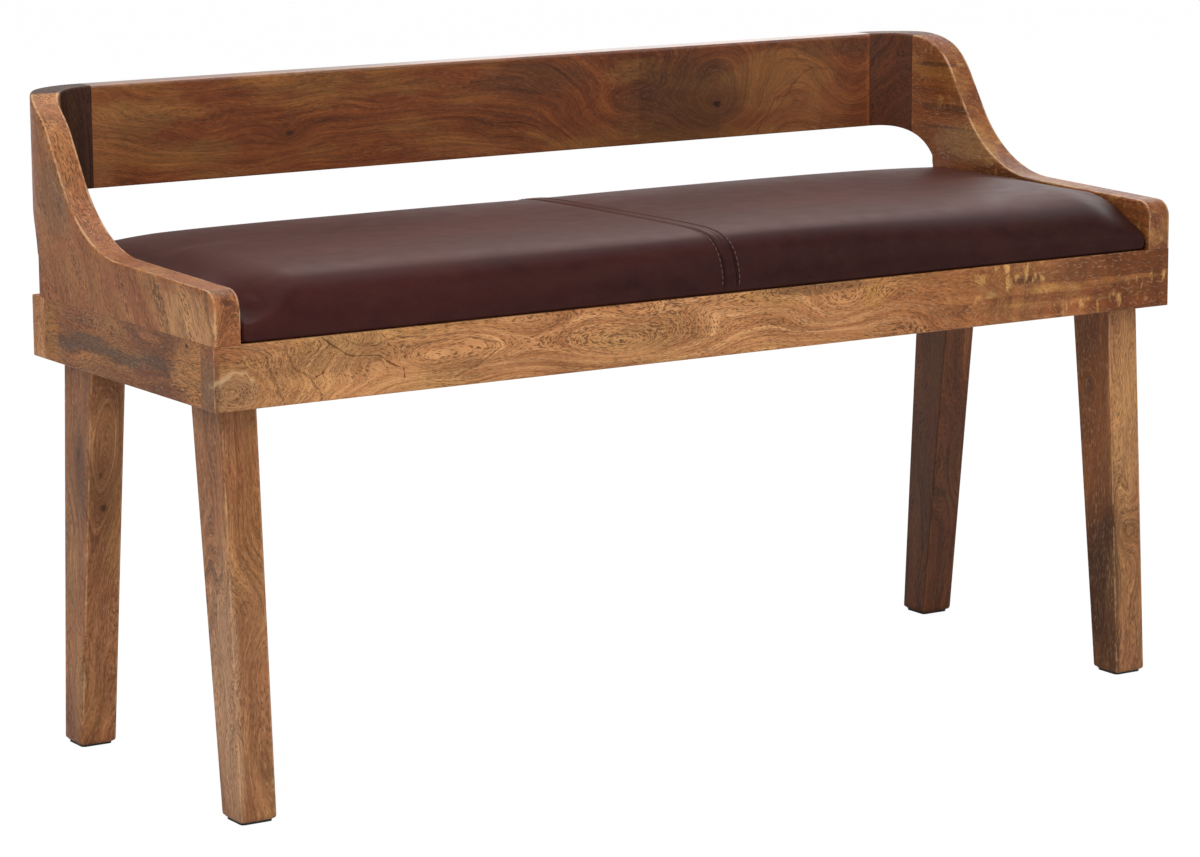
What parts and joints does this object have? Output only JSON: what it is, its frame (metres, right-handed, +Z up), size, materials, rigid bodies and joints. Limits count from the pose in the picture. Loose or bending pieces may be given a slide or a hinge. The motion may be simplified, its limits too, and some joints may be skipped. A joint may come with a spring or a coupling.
{
  "type": "bench",
  "caption": "Low wooden entry bench: a back board that bends round into two swept arms, splayed square legs and a full-length leather seat pad.",
  "frame": {"origin": "on the floor, under the middle of the bench's length and of its whole depth", "axes": "+X along the bench's length, to the right of a person who faces the bench from the front; +Y from the front to the back; +Z up"},
  "size_m": [1.05, 0.416, 0.61],
  "materials": {
    "honey_wood": "satin, waxed, with dark pore flecks",
    "dark_wood": "satin, waxed, reddish brown",
    "leg_wood": "satin, waxed",
    "softwood": "sawn and planed, raw",
    "plywood": "raw plywood",
    "beech": "raw",
    "foam": "matt open-cell foam",
    "leather": "semi-gloss, fine grain",
    "dust_cloth": "matt non-woven cloth",
    "zinc_steel": "zinc plated",
    "brass": "satin",
    "glide_plastic": "matt black"
  },
  "bodies": {
    "root": {"front_rail": "honey_wood", "back_rail": "honey_wood", "side_rail_left": "honey_wood", "side_rail_right": "honey_wood", "arm_left": "honey_wood", "arm_right": "honey_wood", "corner_block_left": "dark_wood", "corner_block_right": "dark_wood", "back_board": "dark_wood", "leg_front_left": "leg_wood", "leg_front_right": "leg_wood", "leg_back_left": "leg_wood", "leg_back_right": "leg_wood", "glide_front_left": "glide_plastic", "glide_front_right": "glide_plastic", "glide_back_left": "glide_plastic", "glide_back_right": "glide_plastic", "leg_block_front_left": "softwood", "leg_block_front_right": "softwood", "leg_block_back_left": "softwood", "leg_block_back_right": "softwood", "seat_slat_left": "softwood", "seat_slat_right": "softwood", "seat_board": "plywood", "seat_foam": "foam", "seat_cover_left": "leather", "seat_cover_right": "leather", "dust_cover": "dust_cloth", "leg_bolts": "zinc_steel", "leg_washers": "zinc_steel", "arm_screws": "zinc_steel", "block_screws": "zinc_steel", "seat_screws": "zinc_steel", "staples": "zinc_steel", "leg_inserts": "brass", "rail_dowels": "beech", "arm_dowels": "beech", "bend_dowels": "beech", "board_dowels": "beech", "slat_dowels": "beech"}
  },
  "joints": []
}
